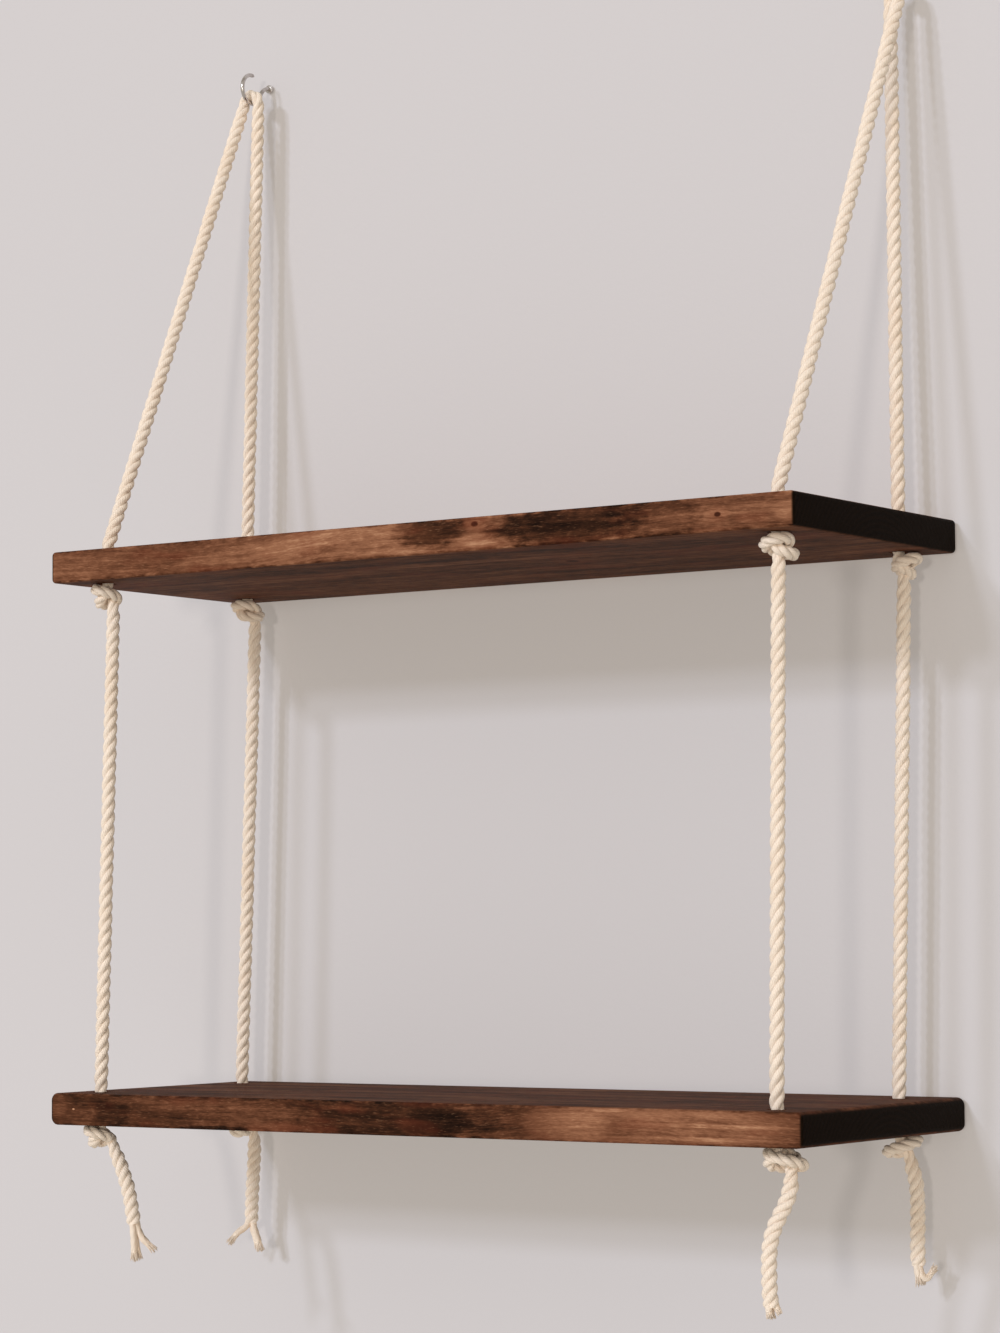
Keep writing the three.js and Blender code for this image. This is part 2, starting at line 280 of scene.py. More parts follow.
def add_mesh(name, places, faces, maps):
    """A mesh object from places in millimetres, smooth, with a UV for each corner of each face."""
    mesh = bpy.data.meshes.new(name)
    mesh.from_pydata([Vector(p) * MM for p in places], [], faces)
    layer = mesh.uv_layers.new(name="rope")
    layer.data.foreach_set("uv", np.asarray(maps, np.float32).ravel())
    mesh.validate()
    piece = bpy.data.objects.new(name, mesh)
    scene.collection.objects.link(piece)
    pick(piece)
    bpy.ops.object.shade_smooth_by_angle(angle=math.radians(CREASE["rope"]))
    return piece


# Rope: three strands laid round a line, as one skin whose rings turn with the strands
STEP = 0.8                      # between two rings
FINE_STEP = 0.4                 # between two points of a line while its corners are rounded
STRAND_POINTS = 12              # of each ring, on one strand
STRAND_WIDE, STRAND_OUT = 0.59, 0.41    # of the rope's radius
STRAND_SIDE = 60                # degrees round a strand from its crest to its crease
TAUT_LAY, SLACK_LAY = 23, 18.5  # length in which a strand goes once round
WANDER, WANDER_LONG = 0.12, 26  # how far the rope's middle strays, and over what length
WANDER_FADE = 8                 # rings at each end over which it strays less
SWELL, SWELL_LONG = 0.035, 9    # share by which a strand's size varies, and over what length
NOISE_SEED = 1795895675         # fixes how ropes stray, which each run would change otherwise
ROPE_SHIFT = (7.3, 0.01, 0.01)  # makes each rope stray in its own way
SWELL_SHIFT = (9.1, 5)          # makes each strand vary in its own way
QUAD = ((0, 0), (1, 0), (1, 1), (0, 1))     # a face's corners, round and along
noise.seed_set(NOISE_SEED)


def even(line, step=STEP):
    """The same line of places and radii, with its points a step apart."""
    line = np.asarray(line, float)
    gone = np.concatenate([[0], np.cumsum(np.linalg.norm(np.diff(line[:, :3], axis=0), axis=1))])
    marks = np.linspace(0, gone[-1], max(2, round(gone[-1] / step) + 1))
    return np.column_stack([np.interp(marks, gone, column) for column in line.T])


def eased(line, reach):
    """The line with its corners rounded over a reach. Both ends stay."""
    fine = even(line, FINE_STEP)
    n = max(1, round(reach / FINE_STEP))
    weights = np.hanning(2 * n + 3)[1:-1]
    weights /= weights.sum()
    before = 2 * fine[0] - fine[n:0:-1]
    after = 2 * fine[-1] - fine[-2:-n - 2:-1]
    longer = np.vstack([before, fine, after])
    return np.column_stack([np.convolve(column, weights, "valid") for column in longer.T])


def frames(middle, aside):
    """Two directions across a line at each of its places, which turn as little as they can."""
    along = np.gradient(middle, axis=0)
    along /= np.linalg.norm(along, axis=1)[:, None]
    across = np.cross(along[0], aside)
    for ahead in along:
        across = across - ahead * across.dot(ahead)
        across /= np.linalg.norm(across)
        yield across, np.cross(ahead, across)


def rope_rings(line, lay, start_turn):
    """Places along a line, the ring of points round each, and how far the strands have turned.

    lay is pairs of a length along the line and the length of a strand's turn there."""
    line = even(line)
    middle, radius = line[:, :3].copy(), line[:, 3]
    lays = np.interp(np.arange(len(middle)) * STEP, *zip(*lay))
    seed = Vector(np.multiply((start_turn, middle[0, 0], middle[0, 2]), ROPE_SHIFT))
    for i, place in enumerate(middle):
        fade = min(1, i / WANDER_FADE, (len(middle) - 1 - i) / WANDER_FADE)
        way = noise.noise_vector(seed + Vector((0, 0, i * STEP / WANDER_LONG)))
        place += np.array(way) * WANDER * fade
    share = (np.arange(STRAND_POINTS) / STRAND_POINTS - 0.5) * math.pi
    on_strand = math.radians(STRAND_SIDE) * np.sin(share)
    aside = STRAND_OUT * np.sin(on_strand)
    out = STRAND_OUT * np.cos(on_strand) + np.sqrt(STRAND_WIDE**2 - aside**2)
    turns, rings, turn = [], [], start_turn
    for i, (across, third) in enumerate(frames(middle, (0, 1, 0))):
        angles, reaches = [], []
        for strand in range(3):
            place = Vector((strand * SWELL_SHIFT[0], SWELL_SHIFT[1], i * STEP / SWELL_LONG))
            angles.append(2 * math.pi * (turn + strand / 3) + on_strand)
            reaches.append(out * (1 + SWELL * noise.noise(seed + place)))
        angles, reaches = np.concatenate(angles), np.concatenate(reaches) * radius[i]
        rings.append(middle[i] + np.outer(np.cos(angles) * reaches, across)
                     + np.outer(np.sin(angles) * reaches, third))
        turns.append(turn)
        turn += STEP / lays[i]
    return middle, np.array(rings), turns


def tube_faces(count, around):
    """Faces of a tube of rings, and its flat cap at each end."""
    faces = []
    for i in range(count - 1):
        for j in range(around):
            a, b = i * around + j, i * around + (j + 1) % around
            faces.append((a, b, b + around, a + around))
    last = (count - 1) * around
    return faces, [tuple(range(around - 1, -1, -1)), tuple(range(last, last + around))]


def rope_skin(name, rings, turns):
    """The rope's skin over some of its rings. Its UV follows the strands round and along."""
    around = rings.shape[1]
    faces, caps = tube_faces(len(rings), around)
    maps = []
    for i in range(len(rings) - 1):
        for j in range(around):
            maps += [((j + a) / around, turns[i + b]) for a, b in QUAD]
    for cap, turn in zip(caps, (turns[0], turns[-1])):
        maps += [(k % around / around, turn) for k in cap]
    return add_mesh(name, rings.reshape(-1, 3), faces + caps, maps)


# Knots: the line of an overhand knot as a few waves, in shares of its width and height
KNOT_WIDE, KNOT_TALL = 5.5, 6.3
KNOT_POINTS, KNOT_ENTRY = 150, 40       # of its line, and those that its hole takes the place of
KNOT_ACROSS = (-0.3, -1.1, 0.07)        # the first, second and fourth wave
KNOT_FORWARD = (0.19, 0.84, 0.46)       # the first three waves
KNOT_RISE, KNOT_UP = 1.06, (-1, -0.14, 0.05)    # half its straight height, and three waves on it
KNOT_GAP, KNOT_MOUTH = 0.2, 2           # between a knot and its board, and up into the hole
LIE_SHARES = (0.27, 0.4, 0.64, 0.97)    # of the line: straight, aside, still aside, leaving
KNOTS = {       # turn in degrees, hand, how far aside the rope leaves and the knot lies, width
    ("left_front", "upper"): (285, 1, 3.5, -0.6, 0.86),
    ("left_back", "upper"): (30, -1, 5, 0.6, 0.82),
    ("right_front", "upper"): (90, -1, 0.2, 0.6, 1),
    ("right_back", "upper"): (120, -1, 2.6, 4.8, 0.88),
    ("left_front", "lower"): (285, 1, 7.5, -1.5, 0.88),
    ("left_back", "lower"): (60, 1, 7.6, 2.5, 0.85),
    ("right_front", "lower"): (225, 1, 7, 4.6, 1),
    ("right_back", "lower"): (200, -1, 5.5, 1.5, 0.9),
}
VIEW_TURN = math.radians(34)    # from the front to the upright planes in which ropes leave knots


def knot_line(turn, hand):
    """Places along an overhand knot about its own middle, top to bottom."""
    t = np.linspace(0, 1, KNOT_POINTS)
    s = math.pi * (1 - 2 * t)
    x1, x2, x4 = KNOT_ACROSS
    x3 = (2 * x2 - x1 + 4 * x4) / 3     # so that both ends of the line run straight
    x = sum(share * np.sin(k * s) for k, share in enumerate((x1, x2, x3, x4), 1))
    y = sum(share * (np.cos(k * s) - (-1) ** k) for k, share in enumerate(KNOT_FORWARD, 1))
    z = KNOT_RISE * (1 - 2 * t) + sum(share * np.sin(k * s) for k, share in enumerate(KNOT_UP, 1))
    x, y, z = x * KNOT_WIDE * hand, y * KNOT_WIDE, z * KNOT_TALL
    c, d = math.cos(math.radians(turn)), math.sin(math.radians(turn))
    return np.column_stack([x * c - y * d, x * d + y * c, z])


def knot_under(board_top, x, y, turn, hand, leave, lie, wide):
    """Rope from inside a board's hole through the knot under it, with its radius at each place."""
    loops = knot_line(turn, hand) * (wide, wide, 1)
    aside = np.interp(np.linspace(0, 1, len(loops)), LIE_SHARES, [0, lie, lie, leave])
    loops += np.column_stack([aside * math.cos(VIEW_TURN), aside * math.sin(VIEW_TURN), 0 * aside])
    middle = board_top - BOARD_THICK - KNOT_GAP - KNOT_ROPE / 2 - loops[KNOT_ENTRY:, 2].max()
    line = [(x, y, board_top - KNOT_START, HOLE_ROPE / 2),
            (x, y, board_top - BOARD_THICK + KNOT_MOUTH, HOLE_ROPE / 2)]
    return line + [(x + a, y + b, middle + c, KNOT_ROPE / 2) for a, b, c in loops]


# The free ends: millimetres across, down and forward from where each starts, in an upright plane
TAILS = {
    "left_front": {
        "run": [(9.8, 0), (11.9, 5), (13.5, 10), (16, 18), (18, 28), (19.8, 40)],
        "strands": [
            [(18.9, 38, 0.8), (19.6, 45, 1.6), (20, 50.5, 1.2), (20, 55, 0.4), (20, 58, 0)],
            [(19.8, 38, -1), (20.2, 46, -1), (20.8, 52, -1.4), (22, 57, -2)],
        ],
        "loose": [(21, 38, 0), (22.4, 44, 0), (25, 48.8, 0.4), (29.6, 53, 0.6)],
    },
    "left_back": {
        "run": [(7.7, 0), (7.5, 8), (6.9, 18), (6.1, 30), (5.8, 40), (5.7, 49)],
        "strands": [
            [(6.5, 47, 0.6), (7.6, 52.6, 0.8), (9.4, 58, 0.6), (10.8, 62.6, 0.2)],
            [(6, 47, -1), (6.8, 54, -1.4), (8.4, 58.6, -1.4), (9.4, 62, -1)],
        ],
        "loose": [(4.9, 47, 0), (2.2, 51.6, 0), (-2.8, 54.6, 0), (-5.6, 58.2, 0)],
    },
    "right_front": {
        "run": [(7, 0), (6, 5), (4.2, 10), (1.4, 15.5), (-1.4, 21),
                (-3.6, 27), (-4.9, 34), (-5.3, 44), (-5.1, 56), (-4.5, 65)],
        "strands": [
            [(-5.4, 60, 1), (-5.8, 65, 1.3), (-5.4, 68.5, 1.1)],
            [(-4.8, 60, -1.2), (-4.8, 65.4, -1.7), (-4, 68.8, -1.6)],
            [(-3.5, 60, 0.2), (-2, 64, 0.8), (-0.4, 66.8, 0.8)],
        ],
        "loose": None,
    },
    "right_back": {
        "run": [(6.8, 0), (8.2, 5), (9.1, 11), (9.4, 20), (9.3, 31), (9.1, 43), (9.1, 54)],
        "strands": [
            [(8.2, 50, 0.8), (8.3, 55, 1), (9.2, 60.4, 1)],
            [(9.9, 50, -1.1), (10.2, 56, -1.4), (11.2, 60.6, -1.2)],
        ],
        "loose": [(9.6, 51, 0.6), (9.9, 57, 0.9), (12, 61.2, 1),
                  (15, 60.6, 0.8), (16.6, 57.4, 0.6)],
    },
}

# An opened strand, and the yarns of the tuft at its end
OPEN_STRAND, OPEN_SIDES, OPEN_EASE = 2.05, 16, 3    # radius, points round it, reach of its bends
OPEN_TIPS, OPEN_RIDGES = (0.6, 0.8), 0.07           # shares of its radius
RIDGES, RIDGE_TWIST = 4, 0.9            # round a strand, and radians from ring to ring
YARNS, YARN_SIDES, YARN_STEPS, YARN_TURN = 15, 6, 8, 2.4
YARN_WIDE, YARN_THINNED = 0.56, 0.26    # a yarn's radius, and what it loses by its tip
YARN_INSIDE, YARN_LEAST, YARN_MORE = 2.6, 3.4, 2.4  # long in the strand, outside, at most more
YARN_SPREAD, YARN_OPENED = 1.45, 1.1    # from the strand's middle, and what the tuft adds
YARN_BENDS = ((-1, 1), (-1, 1), (-1.4, 0.2))        # least and most of its bend along each axis
YARN_BEND = 0.5                         # millimetres for each 1 of those
OPEN_FAN, TIGHT_FAN = 0.9, 0.4          # how far yarns open beside a loose strand, and with none
TUBE_ASIDE, TUFT_ASIDE = (0.3, 0.9, 0.1), (0.2, 1, 0.1)     # ways that no strand or yarn points
TUFT_TIPS = (2.4, 4.8)                  # places on a cord's path beyond its strand
TUBE_ROWS = 45                          # rings of a tube in one turn of the rope's UV


def beside(corner, across, down, forward=0.0):
    """A place on a free end, from its numbers in TAILS."""
    side, row = corner.split("_")
    c, s = math.cos(VIEW_TURN), math.sin(VIEW_TURN)
    return (SIDES[side] * HOLE_X - LOWER_SHIFT + across * c + forward * s,
            ROW_Y[row] + across * s - forward * c,
            LOWER_TOP - BOARD_THICK - KNOT_DROP - down)


def tube(line, sides, tips, bumps=0):
    """Places, faces and UVs of one strand or yarn along places and radii, its ends drawn in."""
    line = np.asarray(line, float)
    middle, radius = line[:, :3], line[:, 3].copy()
    radius[0] *= tips[0]
    radius[-1] *= tips[1]
    places, marks = [], []
    for i, (across, third) in enumerate(frames(middle, TUBE_ASIDE)):
        for j in range(sides):
            angle = 2 * math.pi * j / sides
            reach = radius[i] * (1 + bumps * math.cos(RIDGES * angle - i * RIDGE_TWIST))
            places.append(middle[i] + across * math.cos(angle) * reach
                          + third * math.sin(angle) * reach)
    faces, caps = tube_faces(len(middle), sides)
    for i in range(len(middle) - 1):
        for j in range(sides):
            marks += [((j + a) / sides / 3, (i + b) / TUBE_ROWS) for a, b in QUAD]
    for cap, i in zip(caps, (0, len(middle) - 1)):
        marks += [(k % sides / sides / 3, i / TUBE_ROWS) for k in cap]
    return places, faces + caps, marks


def frayed_strand(corner, route, seed, fan):
    """One strand that has come out of the lay, with its yarns opened into a tuft at the end.

    Gives its places, faces and UVs, and its own line as far as the tuft's tips."""
    dice = random.Random(seed)
    line = eased([(*beside(corner, *place), OPEN_STRAND) for place in route], OPEN_EASE)[::2]
    thin = [0, len(line) - 5, len(line) - 1]
    line[:, 3] *= np.interp(np.arange(len(line)), thin, [1, 1, OPEN_TIPS[1]])
    parts = [tube(line, OPEN_SIDES, OPEN_TIPS, OPEN_RIDGES)]
    end, ahead = line[-1, :3], line[-1, :3] - line[-5, :3]
    ahead /= np.linalg.norm(ahead)
    across = np.cross(ahead, TUFT_ASIDE)
    across /= np.linalg.norm(across)
    third = np.cross(ahead, across)
    for k in range(YARNS):
        angle, out = k * YARN_TURN, math.sqrt((k + 0.5) / YARNS)
        aside = across * math.cos(angle) + third * math.sin(angle)
        long = (YARN_LEAST + YARN_MORE * dice.random()) * fan
        bend = np.array([dice.uniform(*ends) for ends in YARN_BENDS]) * YARN_BEND
        places = []
        for step in range(YARN_STEPS + 1):
            t = step / YARN_STEPS
            spread = YARN_SPREAD + YARN_OPENED * fan * t * t
            root = end - ahead * YARN_INSIDE + aside * out * spread
            place = root + ahead * (YARN_INSIDE + long) * t + bend * t * t
            places.append((*place, YARN_WIDE - YARN_THINNED * t))
        parts.append(tube(places, YARN_SIDES, (1, 0.5)))
    places, faces, marks = [], [], []
    for some, sides, uv in parts:
        faces += [tuple(k + len(places) for k in face) for face in sides]
        places += some
        marks += uv
    tips = [end + ahead * step for step in (TUFT_TIPS[0], TUFT_TIPS[1] * fan)]
    return places, faces, marks, np.vstack([line[:, :3], tips])


# The ropes' runs
ASKEW = {"left": 0, "right": 36}        # degrees by which a rope lies turned in its hook
ASKEW_WIDER = 0.34                      # how much wider its bend is for that, at a quarter turn
FOOT_UP, RUN_SHARES = 3, (0.02, 0.96)   # a hanger's foot above its board, shares where it is taut
SWAY_DROP = 7                           # from the saddle to where the hangers sway
DROP_ABOVE, DROP_FOOT = 6, 1            # above the lower board: a drop run taut, and squeezed
BELOW_KNOT = 5                          # of taut rope
DROP_LAY = ((0, SLACK_LAY), (60, SLACK_LAY + 2), (120, TAUT_LAY))   # tightens below its knot
HOOK_EASE, DROP_EASE, END_EASE = 3.2, 2, 2.4    # reach over which a line's corners are rounded
ROPE_BLEND, END_BLEND = 4, 3            # half the length over which a rope bends as it swings
KNOT_RINGS, END_ABOVE = 60, 4           # where a free end parts from its knot: after, and how high
THINNED_RINGS, THINNED_TO = 6, 0.8      # at a rope's cut end
HOOK_POINTS = 13                        # of the line over a hook
HOOK_TURN, DROP_TURN, END_TURN = 0.13, 0.31, 0.17   # of the strands where ropes start, by side
DROP_ROW, END_ROW = 400, -300           # and by row, one turn more in this depth
PATH_STEP = 4                           # rings from place to place on a cord's path


def rope_over_hook(side):
    """The rope from one front hole over the hook and down into the back hole."""
    x, outward, askew = SIDES[side] * HOLE_X, SIDES[side], math.radians(ASKEW[side])
    saddle = np.array((x, -HOOK_REACH, SADDLE))
    wider = 1 + ASKEW_WIDER * math.sin(askew)
    reach = np.array((math.cos(askew), -math.sin(askew), 0)) * BEND * wider

    def run_up(row, aside):
        foot, top = np.array((x, ROW_Y[row], UPPER_TOP + FOOT_UP)), saddle + aside * reach
        run = [(x, ROW_Y[row], UPPER_TOP - RUN_END, HOLE_ROPE / 2), (*foot, HOLE_ROPE / 2)]
        return run + [(*(foot + (top - foot) * share), TAUT_ROPE / 2) for share in RUN_SHARES]

    line = run_up("front", outward)
    for angle in np.linspace(0, math.pi, HOOK_POINTS):
        over = saddle + (0, 0, BEND * math.sin(angle)) + outward * reach * math.cos(angle)
        line.append((*over, HOOK_ROPE / 2))
    line += run_up("back", -outward)[::-1]
    _, rings, turns = rope_rings(eased(line, HOOK_EASE), [(0, TAUT_LAY)], HOOK_TURN * outward)
    rope = rope_skin(f"{side}_rope_over_hook", rings, turns)
    turn_at = SADDLE - SWAY_DROP
    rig.blend(rope, "bights", f"{side}_hangers",
             at(x, -HOOK_REACH, turn_at + ROPE_BLEND), at(x, -HOOK_REACH, turn_at - ROPE_BLEND))
    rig.replaces(rope, f"{side}_bight", f"{side}_front_hanger", f"{side}_back_hanger")
    return rope


def rope_between_boards(side, row):
    """The knot under the upper board and the rope from it down into the lower board's hole."""
    x, y, corner = SIDES[side] * HOLE_X, ROW_Y[row], f"{side}_{row}"
    line = knot_under(UPPER_TOP, x, y, *KNOTS[corner, "upper"])
    line.append((line[-1][0], line[-1][1], line[-1][2] - BELOW_KNOT, TAUT_ROPE / 2))
    for up, wide in ((DROP_ABOVE, TAUT_ROPE), (DROP_FOOT, HOLE_ROPE), (-RUN_END, HOLE_ROPE)):
        line.append((x - LOWER_SHIFT, y, LOWER_TOP + up, wide / 2))
    start_turn = DROP_TURN * x / HOLE_X + y / DROP_ROW
    _, rings, turns = rope_rings(eased(line, DROP_EASE), DROP_LAY, start_turn)
    rope = rope_skin(f"{corner}_knot_and_drop", rings, turns)
    turn_at = UPPER_TOP - BOARD_THICK - KNOT_DROP
    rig.blend(rope, "upper_shelf", f"{side}_drops",
             at(x, y, turn_at + ROPE_BLEND), at(x, y, turn_at - ROPE_BLEND))
    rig.replaces(rope, f"{corner}_upper_knot", f"{corner}_drop_rope")
    return rope


def rope_end(side, row):
    """The knot under the lower board, and the free end below it with its opened strands."""
    x, y, corner = SIDES[side] * HOLE_X - LOWER_SHIFT, ROW_Y[row], f"{side}_{row}"
    tail = TAILS[corner]
    line = knot_under(LOWER_TOP, x, y, *KNOTS[corner, "lower"])
    start = LOWER_TOP - BOARD_THICK - KNOT_DROP
    line += [(*beside(corner, *place), FREE_ROPE / 2) for place in tail["run"]]
    line = eased(line, END_EASE)
    line[-THINNED_RINGS:, 3] *= np.linspace(1, THINNED_TO, THINNED_RINGS)
    start_turn = END_TURN * x / HOLE_X + y / END_ROW
    middle, rings, turns = rope_rings(line, [(0, SLACK_LAY)], start_turn)
    below_knot = (middle[:, 2] < start + END_ABOVE) & (np.arange(len(middle)) > KNOT_RINGS)
    split = int(np.argmax(below_knot))
    knot = rope_skin(f"{corner}_end_knot", rings[:split + 1], turns[:split + 1])
    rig.ride(knot, "lower_shelf")
    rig.replaces(knot, f"{corner}_lower_knot")
    rope = rope_skin(f"{corner}_free_end", rings[split:], turns[split:])
    strands, path = [], list(middle[split::PATH_STEP])
    for k, route in enumerate(tail["strands"]):
        fan = OPEN_FAN if tail["loose"] else TIGHT_FAN
        *shape, strand_path = frayed_strand(corner, route, f"{corner}{k}", fan)
        strands.append(add_mesh(f"{corner}_strand_{k}", *shape))
        if k == 0:      # the cord's path goes on along the first strand
            nearest = int(np.argmin(np.linalg.norm(strand_path - middle[-1], axis=1)))
            path += [*strand_path[nearest + 3:-3:PATH_STEP], *strand_path[-2:]]
    free = joined(f"{corner}_free_end", rope, *strands)
    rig.blend(free, "lower_shelf", f"{corner}_tail",
             at(x, y, start + END_BLEND), at(x, y, start - END_BLEND))
    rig.replaces(free, f"{corner}_tail")
    with_it = []
    if tail["loose"]:
        *shape, _ = frayed_strand(corner, tail["loose"], corner, 1)
        loose = add_mesh(f"{corner}_loose_strand", *shape)
        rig.ride(loose, f"{corner}_tail")
        with_it.append(loose)
    route = [at(*p) for p in path]
    long = sum(math.dist(a, b) for a, b in zip(route, route[1:]))
    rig.cord(free, exit=route[0], length=round(long, 3), diameter=ROPE * MM, far_end="bare",
            stiffness="limp", lay="hanging", path=route, with_pieces=with_it)
    return [knot, free, *with_it]


rope_pieces = []
for side in SIDES:
    rope_pieces.append(rope_over_hook(side))
for side, row in CORNERS:
    rope_pieces.append(rope_between_boards(side, row))
    rope_pieces += rope_end(side, row)


# Boards
EDGE_EASE, EDGE_STEPS, END_STEPS = 1.5, 4, 7    # the eased edges, and the steps of both roundings
RIM_DEEP, RIM_WIDER, OVERRUN = 0.8, 1.14, 3     # a hole's worn rim, and the drill's way past it
DRILL_SIDES = 48
UPPER_ROUND, LOWER_ROUND = 2.5, 4.5             # of the boards' ends
ON_FACE = 1e-6                                  # metres from a face that still count as on it


def board(name, top, end_round, shift, node, body):
    """A plank with rounded ends, eased edges and four holes whose rims are worn."""
    middle_y, middle_z = -WALL_GAP - BOARD_DEPTH / 2, top - BOARD_THICK / 2
    bpy.ops.mesh.primitive_cube_add(size=1, location=at(0, middle_y, middle_z),
                                    scale=at(BOARD_LENGTH, BOARD_DEPTH, BOARD_THICK))
    plank = settled()
    plank.name = plank.data.name = name

    def bevel(wanted, offset, segments):
        choose(plank, "EDGE", wanted)
        bpy.ops.mesh.bevel(offset=offset * MM, offset_type="OFFSET", segments=segments, profile=0.5,
                           affect="EDGES")

    def runs_back(edge):
        way = edge.verts[0].co - edge.verts[1].co
        return abs(way.y) > NEARLY * way.length

    def round_a_face(edge):
        ends = [v.co.y for v in edge.verts]
        return any(all(abs(end - y * MM) < ON_FACE for end in ends) for y in (FRONT_Y, -WALL_GAP))

    bpy.ops.object.mode_set(mode="EDIT")
    bevel(runs_back, end_round, END_STEPS)
    bevel(round_a_face, EDGE_EASE, EDGE_STEPS)
    bpy.ops.object.mode_set(mode="OBJECT")
    for side, row in CORNERS:
        hole_x = SIDES[side] * HOLE_X - shift
        bpy.ops.mesh.primitive_cylinder_add(
            vertices=DRILL_SIDES, radius=HOLE_WIDE / 2 * MM,
            depth=(BOARD_THICK - 2 * RIM_DEEP) * MM, location=at(hole_x, ROW_Y[row], middle_z))
        drill = settled()
        bpy.ops.object.mode_set(mode="EDIT")
        for up in (1, -1):
            choose(drill, "FACE", lambda face: face.normal.z * up > NEARLY)
            extrude(0, 0, up * RIM_DEEP)
            bpy.ops.transform.resize(value=(RIM_WIDER, RIM_WIDER, 1),
                                     center_override=at(hole_x, ROW_Y[row], top))
            extrude(0, 0, up * OVERRUN)
        bpy.ops.object.mode_set(mode="OBJECT")
        cut = plank.modifiers.new("hole", "BOOLEAN")
        cut.operation, cut.solver, cut.object = "DIFFERENCE", "EXACT", drill
        pick(plank)
        bpy.ops.object.modifier_apply(modifier=cut.name)
        bpy.data.objects.remove(drill)
    pick(plank)
    bpy.ops.object.shade_smooth_by_angle(angle=math.radians(CREASE["board"]))
    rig.ride(plank, body)
    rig.replaces(plank, node)
    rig.slot(plank, f"wood_{body.split('_')[0]}")
    return plank


upper_board = board("upper_plank", UPPER_TOP, UPPER_ROUND, 0, "upper_board", "upper_shelf")
lower_board = board("lower_plank", LOWER_TOP, LOWER_ROUND, LOWER_SHIFT,
                    "lower_board", "lower_shelf")


# Screw hooks: the screw lies along Y, and the wall's face is at y = 0
WIRE_SIDES, NECK_STEPS, RING_STEPS, TURNED_SIDES = 20, 14, 56, 36
WIRE_ROOT = -1.2                        # where the wire starts, inside the collar
NECK_START, NECK_BEND = -1.58, 10.3     # where the wire starts to bend down, and the bend's radius
NECK_TURN, RING_TURN = 70, 260          # degrees of bend in the neck and in the ring
RING_TIP = -280                         # degrees round the ring from nearest the wall to its tip
TIP_ROUNDS = (25, 50, 70, 84)           # degrees of the tip's rounding at each of its rings
COLLAR_WIDE, COLLAR_LONG = 5.4, 2.4
COLLAR_EDGE, COLLAR_STEPS, COLLAR_ANGLE = 0.45, 3, 40   # its bevel, on edges sharper than this
SCREW_WIDE, CORE_WIDE, POINT_WIDE = 3.4, 2.3, 0.1
SHANK_END, CORE_END, SCREW_END = 3, 14, 17
THREAD_START, THREAD_PITCH, THREAD_TURNS, THREAD_STEPS = 3.2, 2.2, 5, 28
THREAD_SIZE, THREAD_TALL, THREAD_CREST = 1.3, 0.85, 0.12    # its profile, and shares of that


